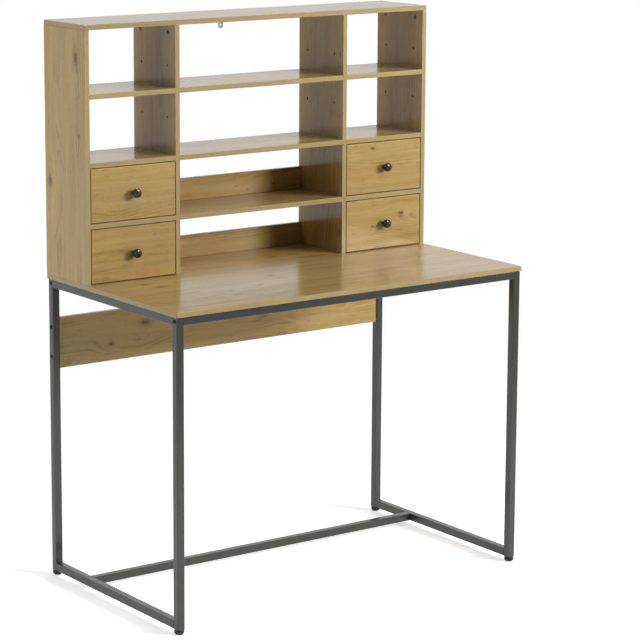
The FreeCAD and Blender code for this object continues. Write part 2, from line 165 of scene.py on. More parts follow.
# Noise in the print: waves per metre along and across the grain, detail and roughness
weave = {
    "wander": (0.9, 2.0, 1.0, 0.5), "ripple": (9.0, 26.0, 2.0, 0.5), "ringStep": (26.0, 70.0, 2.0, 0.5),
    "figure": (3.2, 17.0, 3.0, 0.5), "drift": (5.0, 14.0, 2.0, 0.5), "fibre": (17.0, 620.0, 2.0, 0.6),
    "band": (2.6, 72.0, 4.0, 0.62), "broad": (1.1, 8.0, 2.0, 0.5), "warm": (2.1, 11.0, 2.0, 0.5),
    "pores": (95.0, 2300.0, 1.0, 0.5), "mineral": (7.0, 120.0, 4.0, 0.60), "specks": (34.0, 150.0, 2.0, 0.5),
    "rays": (48.0, 115.0, 2.0, 0.5), "ragged": (140.0, 260.0, 2.0, 0.5),
}
# How far each noise pushes what it bends, in metres, in rings or in depth of a knot
sway = {"wander": 0.012, "ripple": 0.0052, "ringStep": 0.55, "drift": 0.006, "ragged": 0.40}
# How each plank was cut from its log: waves, seeds and reach of the heart's path beside and below the board
log = {"along": 31.0, "asideWaves": 1.3, "asideSeed": 40.0, "asideSway": 0.13, "plankSway": 0.09,
       "deepWaves": 1.7, "deepSeed": 70.0, "deepLeast": 0.004, "deepSpan": 0.085}
# Where each effect sets in and where it is full, and how strong it is at both ends
ramps = {
    "ringRise": (0.30, 0.86), "ringFall": (0.90, 1.0, 1.0, 0.0), "ringShare": (0.47, 0.64, 0.05, 1.0),
    "pores": (0.60, 0.69), "mineral": (0.60, 0.76), "specks": (0.665, 0.76), "rays": (0.655, 0.74),
    "shade": (0.38, 0.76), "grey": (0.36, 0.70, 0.0, 0.42), "warm": (0.48, 0.74, 0.0, 0.36),
    "halo": (0.02, 0.75, 0.0, 0.55), "knot": (0.55, 1.00, 0.0, 0.75),
}
# Shares of the colours, of the relief and of the roughness
marks = {"ring": 0.48, "mineral": 0.28, "rays": 0.30, "specks": 0.40, "pores": 0.60, "tape": 0.62,
         "bandShade": 0.80, "fibreShade": 0.30, "poresOnRings": 0.65, "poresBetween": 0.25}
relief = {"fibre": 0.15, "pores": 0.85, "ring": 0.10}
sheen = {"least": 0.162, "band": 0.05, "pores": 0.08}
# A knot's bell shapes are measured in its own size
knotNames = ("knotA", "knotB", "knotC", "knotD")
knotShape = {"bend": (4.6, 2.1), "push": -0.72, "core": (1.15, 0.62), "least": 0.0001}


# Grain that bends round a knot: gives the new V and how deep a point is in the knot
def makeKnotFlow():
    tree = bpy.data.node_groups.new("knotFlow", "ShaderNodeTree")
    for name, kind in (("U", "NodeSocketFloat"), ("V", "NodeSocketFloat"), ("Knot", "NodeSocketVector")):
        tree.interface.new_socket(name, in_out="INPUT", socket_type=kind)
    for name in ("V", "Core"):
        tree.interface.new_socket(name, in_out="OUTPUT", socket_type="NodeSocketFloat")
    inside = tree.nodes.new("NodeGroupInput")
    outside = tree.nodes.new("NodeGroupOutput")
    u, v, knot = inside.outputs[0], inside.outputs[1], inside.outputs[2]
    knotParts = addNode(tree, "ShaderNodeSeparateXYZ", Vector=knot).outputs
    size = calc(tree, "MAXIMUM", knotParts[2], knotShape["least"])
    along = calc(tree, "DIVIDE", calc(tree, "SUBTRACT", u, knotParts[0]), size)
    across = calc(tree, "DIVIDE", calc(tree, "SUBTRACT", v, knotParts[1]), size)

    def square(value, reach):
        return calc(tree, "POWER", calc(tree, "ABSOLUTE", calc(tree, "DIVIDE", value, reach)), 2.0)

    def bell(length, width):
        far = calc(tree, "ADD", square(along, length), square(across, width))
        return calc(tree, "EXPONENT", calc(tree, "MULTIPLY", far, -1.0))

    push = calc(tree, "MULTIPLY", calc(tree, "MULTIPLY", bell(*knotShape["bend"]), knotShape["push"]),
                calc(tree, "MULTIPLY", across, size))
    feed(tree, outside.inputs[0], calc(tree, "ADD", v, push))
    feed(tree, outside.inputs[1], bell(*knotShape["core"]))
    return tree


knotFlow = makeKnotFlow()


def makeOakLaminate():
    material, tree = newMaterial("oakLaminate")
    place = addNode(tree, "ShaderNodeUVMap", {"uv_map": "grain"}).outputs[0]
    parts = addNode(tree, "ShaderNodeSeparateXYZ", Vector=place).outputs
    u, v = parts[0], parts[1]
    core = 0.0
    for name in knotNames:
        spot = addNode(tree, "ShaderNodeAttribute", {"attribute_name": name}).outputs["Vector"]
        flow = tree.nodes.new("ShaderNodeGroup")
        flow.node_tree = knotFlow
        for socket, value in zip(flow.inputs, (u, v, spot)):
            feed(tree, socket, value)
        v = flow.outputs[0]
        core = calc(tree, "MAXIMUM", core, flow.outputs[1])

    def swing(value, amount):
        return calc(tree, "MULTIPLY", calc(tree, "SUBTRACT", value, 0.5), amount)

    def grain(name, line=None):
        lengthwise, crosswise, detail, roughness = weave[name]
        return noise(tree, joinVector(tree, calc(tree, "MULTIPLY", u, lengthwise),
                                      calc(tree, "MULTIPLY", line or v, crosswise)), 1.0, detail, roughness)

    def bend(value, name):
        return calc(tree, "ADD", value, swing(grain(name), sway[name]))

    def ramp(value, name):
        return smooth(tree, value, *ramps[name])

    def share(value, name):
        return calc(tree, "MULTIPLY", value, marks[name])

    # The print is laid out in planks, each cut at its own place from the log
    plank = calc(tree, "FLOOR", calc(tree, "DIVIDE", bend(v, "wander"), oak["plankWidth"]))
    luck = addNode(tree, "ShaderNodeTexWhiteNoise", {"noise_dimensions": "1D"}, W=plank).outputs["Color"]
    draws = addNode(tree, "ShaderNodeSeparateColor", Color=luck).outputs
    middle = calc(tree, "MULTIPLY", calc(tree, "ADD", plank, 0.5), oak["plankWidth"])
    inPlank = calc(tree, "SUBTRACT", v, middle)
    u = calc(tree, "ADD", u, calc(tree, "MULTIPLY", draws[0], log["along"]))

    def heart(waves, draw, seed):
        return noise(tree, joinVector(tree, calc(tree, "MULTIPLY", u, waves), calc(tree, "MULTIPLY", draw, seed)))

    # Growth rings: how far a point of the cut face is from the heart of the log
    heartAside = heart(log["asideWaves"], draws[1], log["asideSeed"])
    heartDeep = heart(log["deepWaves"], draws[2], log["deepSeed"])
    aside = calc(tree, "ADD", calc(tree, "ADD", inPlank, swing(heartAside, log["asideSway"])),
                 swing(draws[1], log["plankSway"]))
    aside = bend(aside, "ripple")
    deep = calc(tree, "ADD", log["deepLeast"], calc(tree, "MULTIPLY", heartDeep, log["deepSpan"]))
    far = calc(tree, "SQRT", calc(tree, "ADD", calc(tree, "MULTIPLY", aside, aside),
                                  calc(tree, "MULTIPLY", deep, deep)))
    phase = calc(tree, "FRACT", bend(calc(tree, "MULTIPLY", far, oak["ringsPerMetre"]), "ringStep"))
    ring = calc(tree, "MULTIPLY", ramp(phase, "ringRise"), ramp(phase, "ringFall"))
    figure, toneAndPaintedLight, tape = (addNode(tree, "ShaderNodeAttribute", {"attribute_name": name}).outputs["Fac"]
                          for name in ("figure", "toneAndPaintedLight", "tape"))
    ring = calc(tree, "MULTIPLY", ring, ramp(calc(tree, "ADD", grain("figure"), figure), "ringShare"))

    line = bend(v, "drift")
    fibre, band = grain("fibre", line), grain("band", line)
    pores = calc(tree, "MULTIPLY", ramp(grain("pores", line), "pores"),
                 calc(tree, "ADD", share(ring, "poresOnRings"), marks["poresBetween"]))
    mineral, specks = (ramp(grain(name, line), name) for name in ("mineral", "specks"))
    rays = ramp(grain("rays", calc(tree, "ADD", line, oak["raysShift"])), "rays")
    broad, warm = grain("broad"), grain("warm", calc(tree, "ADD", v, oak["warmShift"]))
    shade = calc(tree, "ADD", share(band, "bandShade"), share(fibre, "fibreShade"))
    ragged = bend(core, "ragged")

    colour = oak["light"]
    for amount, name in (
            (ramp(shade, "shade"), "mid"), (ramp(broad, "grey"), "grey"), (ramp(warm, "warm"), "warm"),
            (share(ring, "ring"), "dark"), (share(mineral, "mineral"), "dark"), (share(rays, "rays"), "light"),
            (share(specks, "specks"), "dark"), (share(pores, "pores"), "pore"), (ramp(core, "halo"), "dark"),
            (ramp(ragged, "knot"), "knot"), (share(tape, "tape"), "tape")):
        colour = blendColour(tree, amount, colour, oak[name])
    # The board's random tone and its painted light and shade lift or lower the print's value here
    level = calc(tree, "ADD", calc(tree, "ADD", 1.0, toneAndPaintedLight), swing(draws[2], oak["plankTone"]))
    shaded = addNode(tree, "ShaderNodeHueSaturation", Value=level, Color=colour).outputs[0]

    height = calc(tree, "SUBTRACT", calc(tree, "MULTIPLY", fibre, relief["fibre"]),
                  calc(tree, "ADD", calc(tree, "MULTIPLY", pores, relief["pores"]),
                       calc(tree, "MULTIPLY", ring, relief["ring"])))
    rough = calc(tree, "ADD", sheen["least"], calc(tree, "MULTIPLY", band, sheen["band"]))
    rough = calc(tree, "ADD", rough, calc(tree, "MULTIPLY", pores, sheen["pores"]))
    finishMaterial(tree, {"IOR": 1.5}, height, oak["poreDepth"], Base_Color=shaded, Roughness=rough)
    return material


oakLaminate = makeOakLaminate()


# What the plain finishes share: the noise, the share of the slow clouds, the ramp of tones and the spread of gloss
speckled = {"detail": 3.0, "fineRoughness": 0.6, "slowRoughness": 0.5, "cloudShare": 0.35, "facePaintedLightAndTone": (0.34, 0.66),
            "glossSpread": 0.12}


# A finish of fine specks over slow clouds of tone, read from the piece's own coordinates
def makeSpeckled(name, dark, light, roughness, metallic=0.0, scale=400.0, depth=0.00004, clouds=9.0, ior=1.5):
    material, tree = newMaterial(name)
    place = addNode(tree, "ShaderNodeTexCoord").outputs["Object"]
    fine = noise(tree, place, scale, speckled["detail"], speckled["fineRoughness"], flat=False)
    slow = noise(tree, place, clouds, speckled["detail"], speckled["slowRoughness"], flat=False)
    share = calc(tree, "ADD", calc(tree, "MULTIPLY", fine, 1.0 - speckled["cloudShare"]),
                 calc(tree, "MULTIPLY", slow, speckled["cloudShare"]))
    colour = blendColour(tree, smooth(tree, share, *speckled["facePaintedLightAndTone"]), dark, light)
    spread = speckled["glossSpread"]
    gloss = calc(tree, "ADD", roughness - spread / 2, calc(tree, "MULTIPLY", slow, spread))
    finishMaterial(tree, {"Metallic": metallic, "IOR": ior}, fine, depth, Base_Color=colour, Roughness=gloss)
    return material


materials = {
    "oak_board": oakLaminate,
    "hardboard": makeSpeckled("hardboard", (0.24, 0.145, 0.070), (0.36, 0.235, 0.120), 0.62, scale=900.0),
    "frame_steel": makeSpeckled("frameLacquer", (0.044, 0.045, 0.041), (0.052, 0.053, 0.049), 0.20,
                                scale=600.0, depth=0.000005, clouds=6.0, ior=1.55),
    "bolt_black": makeSpeckled("blackOxide", (0.014, 0.014, 0.015), (0.035, 0.034, 0.034), 0.36, 0.7, scale=1200.0,
                               depth=0.00001),
    "cam_fittings": makeSpeckled("dullZinc", (0.095, 0.086, 0.078), (0.185, 0.170, 0.158), 0.50, 0.9, scale=350.0,
                                 depth=0.00001),
    "zinc": makeSpeckled("zincPlate", (0.38, 0.38, 0.39), (0.56, 0.56, 0.57), 0.40, 0.85, scale=350.0, depth=0.00001),
    "knob_metal": makeSpeckled("agedPewter", (0.088, 0.074, 0.075), (0.118, 0.102, 0.106), 0.30, 0.95, scale=260.0,
                               depth=0.00001, clouds=60.0),
    "foot_plastic": makeSpeckled("footPlastic", (0.012, 0.012, 0.012), (0.022, 0.022, 0.022), 0.46, scale=1400.0,
                                 depth=0.00002),
}
rawBoard = makeSpeckled("rawParticleBoard", (0.13, 0.085, 0.045), (0.34, 0.24, 0.14), 0.85, scale=700.0,
                        depth=0.0002)
print("materials made")


# Shared mesh work: gaps in metres and angles in degrees

meshing = {"weld": 0.000004, "onAxis": 0.00001, "flat": 0.4, "boardSharp": 32.0, "turnedSharp": 40.0,
           "headSharp": 38.0}


# Link a finished mesh, let it stand for its CAD node and ride on that node's body
def addPiece(name, mesh, node):
    piece = bpy.data.objects.new(name, mesh)
    scene.collection.objects.link(piece)
    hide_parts(node)
    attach(piece, bodyOf[node])
    return piece


# The evaluated mesh of a working object, which is then thrown away
def bakeModifiers(piece, name):
    bpy.context.view_layer.update()
    graph = bpy.context.evaluated_depsgraph_get()
    mesh = bpy.data.meshes.new_from_object(piece.evaluated_get(graph), preserve_all_data_layers=True,
                                           depsgraph=graph)
    mesh.name = name
    bpy.data.objects.remove(piece)
    return mesh


# Round the sharp edges and keep the flats flat
def easeEdges(mesh, name, width, segments):
    piece = bpy.data.objects.new(name, mesh)
    scene.collection.objects.link(piece)
    for polygon in mesh.polygons:
        polygon.use_smooth = True
    bevel = piece.modifiers.new("ease", "BEVEL")
    bevel.width = width
    bevel.segments = segments
    bevel.limit_method = "ANGLE"
    bevel.angle_limit = math.radians(meshing["boardSharp"])
    bevel.use_clamp_overlap = True
    flats = piece.modifiers.new("flats", "WEIGHTED_NORMAL")
    flats.mode = "FACE_AREA"
    flats.weight = 100
    return bakeModifiers(piece, name)


# A copy of a CAD node with its loose triangles joined into plain faces
def weldedCopy(node):
    mesh = frame["nodes"][node].data.copy()
    mesh.materials.clear()
    build = bmesh.new()
    build.from_mesh(mesh)
    bmesh.ops.remove_doubles(build, verts=build.verts, dist=meshing["weld"])
    bmesh.ops.dissolve_limit(build, angle_limit=math.radians(meshing["flat"]), verts=build.verts,
                             edges=build.edges)
    build.to_mesh(mesh)
    build.free()
    return mesh


# Boards

# Easing of the edges, spread of the tones, cover by edge tape (less on drawer fronts, as painted shade in their gaps),
# and where each face is cut from the print
boards = {
    "ease": 0.0006, "stripEase": 0.0013, "steps": 3, "toneSpread": 0.045, "tape": 1.0, "frontTapeGapShade": 0.2,
    "slide": (3.0, 9.0), "edgeShift": 0.37, "endShift": 0.71, "backShift": 1.7, "cutDepth": 0.0016,
    "seed": 100,
}
uprights = ("left_side_panel", "right_side_panel", "left_divider", "right_divider")
# Knots that the photo shows: the side of the board, then each knot's place along and across the grain and its size
knots = {
    "left_side_panel": ("-", [(1.272, 0.139, 0.0230), (0.972, 0.261, 0.0170), (1.090, 0.129, 0.0080)]),
    "modesty_panel": ("-", [(-0.334, 0.5550, 0.0120), (-0.236, 0.597, 0.0170)]),
    "right_upper_drawer_front": ("-", [(0.334, 1.001, 0.0080)]),
    "right_lower_drawer_front": ("-", [(0.425, 0.830, 0.0110), (0.336, 0.803, 0.0050)]),
    "upper_back_strip": ("-", [(0.153, 0.906, 0.0050), (0.073, 0.899, 0.0040)]),
    "right_divider": ("-", [(1.240, 0.110, 0.0080)]),
    "desktop": ("+", [(-0.380, 0.036, 0.0170), (-0.366, -0.002, 0.0190), (-0.256, -0.136, 0.0070),
                      (-0.075, -0.042, 0.0100)]),
}
# A spot far off the board, for a knot that isn't there
noKnot = (-50.0, -50.0, 0.001)
# How strongly the growth rings show: more than nothing brings out their loops
figured = {"desktop": 0.045, "modesty_panel": 0.015, "left_side_panel": 0.015, "left_divider": -0.07,
           "right_divider": -0.07, "right_side_panel": -0.05, "left_lower_drawer_front": -0.06,
           "left_upper_drawer_front": -0.05, "right_lower_drawer_front": -0.04, "right_upper_drawer_front": -0.03,
           "hutch_top": -0.03}
# Tone shifts that paint light and shade into whole boards: painted light on the desktop, modesty panel and upper right
# drawer front, painted shade on the back strips deep under the shelves and on the lower right drawer front; and painted
# shade on the desktop's edges by the axis that they face
paintedLightPerBoard = {"desktop": 0.10, "modesty_panel": 0.06, "upper_back_strip": -0.07, "lower_back_strip": -0.06,
           "right_lower_drawer_front": -0.01, "right_upper_drawer_front": 0.02}
desktopEdgeShade = {0: 0.25, 1: 0.13}
boardNodes = [node for node, slot in slotOf.items() if slot in ("oak_board", "hardboard")]


# The separate solids of a mesh, each as a list of its faces
def splitSolids(mesh):
    build = bmesh.new()
    build.from_mesh(mesh)
    seen, solids = set(), []
    for first in build.faces:
        if first.index in seen:
            continue
        waiting, members = [first], []
        seen.add(first.index)
        while waiting:
            face = waiting.pop()
            members.append(face.index)
            for edge in face.edges:
                for other in edge.link_faces:
                    if other.index not in seen:
                        seen.add(other.index)
                        waiting.append(other)
        solids.append(members)
    build.free()
    return solids


# Give each face its place along and across the grain, and mark edge tape and cut faces
def layGrain(mesh, node, number):
    draw = random.Random(boards["seed"] + number)
    side, places = knots.get(node, ("+", []))
    count = len(mesh.polygons)
    grain = [0.0] * (2 * len(mesh.loops))
    tape, facePaintedLightAndTone, cut = [0.0] * count, [0.0] * count, [0] * count
    spots = {name: [0.0] * (3 * count) for name in knotNames}
    for solid in splitSolids(mesh):
        faces = [mesh.polygons[index] for index in solid]
        corners = [mesh.vertices[index].co for face in faces for index in face.vertices]
        low = [min(corner[axis] for corner in corners) for axis in range(3)]
        high = [max(corner[axis] for corner in corners) for axis in range(3)]
        sizes = [high[axis] - low[axis] for axis in range(3)]
        thin = sizes.index(min(sizes))
        along = 2 if node in uprights else (1 if thin == 0 else 0)
        across = 3 - along - thin
        slide = (draw.uniform(*boards["slide"]), draw.uniform(*boards["slide"]))
        # A random tone for each solid, plus the painted light and shade set for its board
        toneAndPaintedLight = draw.uniform(-boards["toneSpread"], boards["toneSpread"]) + paintedLightPerBoard.get(node, 0.0)
        axesFor = {thin: (along, across, 0.0), across: (along, thin, boards["edgeShift"]),
                   along: (across, thin, boards["endShift"])}
        for face in faces:
            facing = max(range(3), key=lambda axis: abs(face.normal[axis]))
            first, second, shift = axesFor[facing]
            shift += boards["backShift"] if face.normal[facing] < 0 else 0.0
            for loop in face.loop_indices:
                corner = mesh.vertices[mesh.loops[loop].vertex_index].co
                grain[2 * loop:2 * loop + 2] = (corner[first] + slide[0] + shift, corner[second] + slide[1])
            # Drawer fronts take little edge tape, so the gaps round them show the warmer wood colour as painted shade
            tape[face.index] = 0.0 if facing == thin else boards["frontTapeGapShade" if "_front" in node else "tape"]
            # Painted shade: the desktop's edges are darker by the axis that they face
            facePaintedLightAndTone[face.index] = toneAndPaintedLight - (desktopEdgeShade.get(facing, 0.0) if node == "desktop" else 0.0)
            reach = min(min(face.center[axis] - low[axis], high[axis] - face.center[axis]) for axis in range(3))
            cut[face.index] = 1 if reach > boards["cutDepth"] else 0
            for position, name in enumerate(knotNames):
                knot = places[position] if position < len(places) else noKnot
                turn = boards["backShift"] if side == "-" else 0.0
                spots[name][3 * face.index:3 * face.index + 3] = (knot[0] + slide[0] + turn, knot[1] + slide[1],
                                                                  knot[2])
    mesh.materials.append(materials[slotOf[node]])
    mesh.materials.append(rawBoard)
    mesh.polygons.foreach_set("material_index", cut)
    mesh.uv_layers.new(name="grain").data.foreach_set("uv", grain)
    for name, values in (("tape", tape), ("toneAndPaintedLight", facePaintedLightAndTone), ("figure", [figured.get(node, 0.0)] * count)):
        mesh.attributes.new(name, "FLOAT", "FACE").data.foreach_set("value", values)
    for name, values in spots.items():
        mesh.attributes.new(name, "FLOAT_VECTOR", "FACE").data.foreach_set("vector", values)


for number, node in enumerate(boardNodes):
    ease = boards["stripEase" if node.endswith("back_strip") else "ease"]
    mesh = easeEdges(weldedCopy(node), node + "_laminated", ease, boards["steps"])
    layGrain(mesh, node, number)
    addPiece(node + "_laminated", mesh, node)
print(len(boardNodes), "boards laid with grain")


# Metal frame and wall tab

metalwork = {"tubeEase": 0.0003, "tubeSteps": 2, "tabEase": 0.0004, "tabSteps": 3}
tubeNodes = [node for node, slot in slotOf.items() if slot == "frame_steel"]
for node in tubeNodes:
    mesh = easeEdges(weldedCopy(node), node + "_lacquered", metalwork["tubeEase"], metalwork["tubeSteps"])
    mesh.materials.append(materials["frame_steel"])
    addPiece(node + "_lacquered", mesh, node)
mesh = easeEdges(weldedCopy("wall_bracket"), "wall_bracket_plated", metalwork["tabEase"], metalwork["tabSteps"])
mesh.materials.append(materials["zinc"])
addPiece("wall_bracket_plated", mesh, "wall_bracket")
print(len(tubeNodes), "tubes lacquered")


# Turned pieces

def inMetres(corners):
    return [tuple(value / 1000 for value in corner) for corner in corners]


# Replace each corner (radius, height, rounding) with a short curve
def softenOutline(corners, steps=5, most=0.49):
    line = []
    for index, (radius, height, rounding) in enumerate(corners):
        here = Vector((radius, height))
        if rounding <= 0 or index in (0, len(corners) - 1):
            line.append(here)
            continue
        before = Vector(corners[index - 1][:2]) - here
        after = Vector(corners[index + 1][:2]) - here
        start = here + before.normalized() * min(rounding, before.length * most)
        end = here + after.normalized() * min(rounding, after.length * most)
        for step in range(steps + 1):
            share = step / steps
            line.append(start.lerp(here, share).lerp(here.lerp(end, share), share))
    return line


# A closed solid of revolution about Z from (radius, height) points that begin and end on the axis
def turnOutline(name, line, sides):
    build = bmesh.new()
    rings = []
    for radius, height in line:
        if radius < meshing["onAxis"]:
            rings.append([build.verts.new((0, 0, height))])
        else:
            rings.append([build.verts.new((radius * math.cos(angle), radius * math.sin(angle), height))
                          for angle in (2 * math.pi * step / sides for step in range(sides))])
    for lower, upper in zip(rings, rings[1:]):
        for step in range(sides):
            following = (step + 1) % sides
            corners = [lower[step % len(lower)], lower[following % len(lower)],
                       upper[following % len(upper)], upper[step % len(upper)]]
            build.faces.new(list(dict.fromkeys(corners)))
    bmesh.ops.recalc_face_normals(build, faces=build.faces)
    mesh = bpy.data.meshes.new(name)
    build.to_mesh(mesh)
    build.free()
    for polygon in mesh.polygons:
        polygon.use_smooth = True
    mesh.set_sharp_from_angle(angle=math.radians(meshing["turnedSharp"]))
    return mesh


# Sizes in millimetres. The neck is radius, height above the drawer front and rounding.
knob = {
    "sides": 64, "ballRadius": 11.0, "ballCentre": 15.0, "ballSteps": 22,
    "neck": [(0.0, -10.0, 0.0), (2.5, -10.0, 0.3), (2.5, 0.0, 0.0), (5.4, 0.0, 0.0), (5.4, 0.9, 0.5), (4.5, 2.2, 0.8),
             (4.5, 4.2, 0.9)],
}


def knobOutline():
    line = softenOutline(inMetres(knob["neck"]))
    ball, centre = knob["ballRadius"] / 1000, knob["ballCentre"] / 1000
    reach = line[-1][0]
    start = math.pi - math.asin(reach / ball)
    for step in range(knob["ballSteps"] + 1):
        angle = start * (1 - step / knob["ballSteps"])
        line.append(Vector((ball * math.sin(angle), centre + ball * math.cos(angle))))
    line[-1][0] = 0.0
    return line


for side in ("left", "right"):
    for level in ("upper", "lower"):
        node = side + "_" + level + "_drawer_knob"
        low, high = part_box(node)
        middle = (low + high) / 2
        mesh = turnOutline(node + "_turned", knobOutline(), knob["sides"])
        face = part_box(side + "_" + level + "_drawer_front")[0].y
        mesh.transform(Matrix.Translation((middle.x, face, middle.z)) @ Matrix.Rotation(math.radians(90), 4, "X"))
        mesh.materials.append(materials["knob_metal"])
        addPiece(node + "_turned", mesh, node)
print("knobs turned")


# Geometry Nodes helpers

def newNodeTree(name, sockets):
    tree = bpy.data.node_groups.new(name, "GeometryNodeTree")
    tree.interface.new_socket("Geometry", in_out="INPUT", socket_type="NodeSocketGeometry")
    for label, kind in sockets:
        tree.interface.new_socket(label, in_out="INPUT", socket_type="NodeSocket" + kind)
    tree.interface.new_socket("Geometry", in_out="OUTPUT", socket_type="NodeSocketGeometry")
    return tree, tree.nodes.new("NodeGroupInput").outputs, tree.nodes.new("NodeGroupOutput")


# Run a tree on a mesh with its inputs set by identifier, and return the plain mesh
def runTree(tree, mesh, name, values):
    piece = bpy.data.objects.new(name, mesh)
    scene.collection.objects.link(piece)
    modifier = piece.modifiers.new(tree.name, "NODES")
    modifier.node_group = tree
    for item in tree.interface.items_tree:
        if item.in_out == "INPUT" and item.name in values:
            modifier[item.identifier] = values[item.name]
    return bakeModifiers(piece, name)


# Feet: a turned pad and stud with grip ribs set round the rim by Geometry Nodes. The outline is in millimetres.

foot = {
    "sides": 64, "ribs": 28, "ribSides": 8, "ribRadius": 0.00045, "ribRing": 0.01115, "ribLow": 0.0046,
    "ribHigh": 0.0088,
    "outline": [(0.0, 0.0, 0.0), (8.5, 0.0, 0.5), (9.3, 1.4, 0.6), (11.4, 3.5, 0.5), (11.4, 9.9, 0.7), (9.5, 11.7, 0.5),
                (4.0, 11.7, 0.0), (4.0, 31.2, 0.4), (3.4, 31.7, 0.2), (0.0, 31.7, 0.0)],
}


def makeGripRibs():
    tree, inputs, output = newNodeTree("gripRibs", [
        ("Rib Count", "Int"), ("Ring Radius", "Float"), ("Rib Radius", "Float"), ("Rib Low", "Float"),
        ("Rib High", "Float"), ("Material", "Material")])
    length = calc(tree, "SUBTRACT", inputs["Rib High"], inputs["Rib Low"])
    middle = calc(tree, "MULTIPLY", calc(tree, "ADD", inputs["Rib High"], inputs["Rib Low"]), 0.5)
    ring = addNode(tree, "GeometryNodeMeshCircle", Vertices=inputs["Rib Count"], Radius=inputs["Ring Radius"])
    raised = addNode(tree, "GeometryNodeTransform", Geometry=ring.outputs[0],
                     Translation=joinVector(tree, 0.0, 0.0, middle))
    rib = addNode(tree, "GeometryNodeMeshCylinder", Vertices=foot["ribSides"], Radius=inputs["Rib Radius"],
                  Depth=length)
    smoothRib = addNode(tree, "GeometryNodeSetShadeSmooth", Geometry=rib.outputs[0])
    ribs = addNode(tree, "GeometryNodeInstanceOnPoints", Points=raised.outputs[0], Instance=smoothRib.outputs[0])
    real = addNode(tree, "GeometryNodeRealizeInstances", Geometry=ribs.outputs[0])
    joined = addNode(tree, "GeometryNodeJoinGeometry")
    tree.links.new(real.outputs[0], joined.inputs[0])
    tree.links.new(inputs["Geometry"], joined.inputs[0])
    finish = addNode(tree, "GeometryNodeSetMaterial", Geometry=joined.outputs[0], Material=inputs["Material"])
    tree.links.new(finish.outputs[0], output.inputs[0])
    return tree


gripRibs = makeGripRibs()
for side in ("left", "right"):
    for end in ("front", "rear"):
        node = side + "_" + end + "_foot"
        low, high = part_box(node)
        outline = softenOutline(inMetres(foot["outline"]))
        mesh = runTree(gripRibs, turnOutline(node, outline, foot["sides"]), node + "_moulded", {
            "Rib Count": foot["ribs"], "Ring Radius": foot["ribRing"], "Rib Radius": foot["ribRadius"],
            "Rib Low": foot["ribLow"], "Rib High": foot["ribHigh"], "Material": materials["foot_plastic"]})
        middle = (low + high) / 2
        mesh.transform(Matrix.Translation((middle.x, middle.y, low.z)))
        addPiece(node + "_moulded", mesh, node)
print("feet moulded")


# Fasteners: one Geometry Nodes tree sets a head, its socket and its shank on each point

# Sides of the rounds, the corner radius of a hexagon over its width, and the width of a cross's arm over its length
fastenerShape = {"headSides": 36, "headRings": 6, "shankSides": 24, "hexRadius": 0.57735, "armWidth": 0.24,
                 "leastShank": 0.0001}
# Head and shank are diameters, and a socket is a cross or else a hexagon
fasteners = {
    "frame_bolts": {"head": 0.0100, "high": 0.0022, "dome": 0.0010, "shank": 0.006, "length": 0.030,
                    "socket": 0.0040, "deep": 0.0014, "cross": False},
    "desktop_screws": {"head": 0.0080, "high": 0.0020, "dome": 0.0009, "shank": 0.004, "length": 0.028,
                       "socket": 0.0044, "deep": 0.0013, "cross": True},
    "bracket_screw": {"head": 0.0060, "high": 0.0018, "dome": 0.0008, "shank": 0.003, "length": 0.010,
                      "socket": 0.0034, "deep": 0.0011, "cross": True},
    "cam_fittings": {"head": 0.0120, "high": 0.0088, "dome": 0.0002, "shank": 0.0, "length": 0.001,
                     "socket": 0.0066, "deep": 0.0030, "cross": True},
}


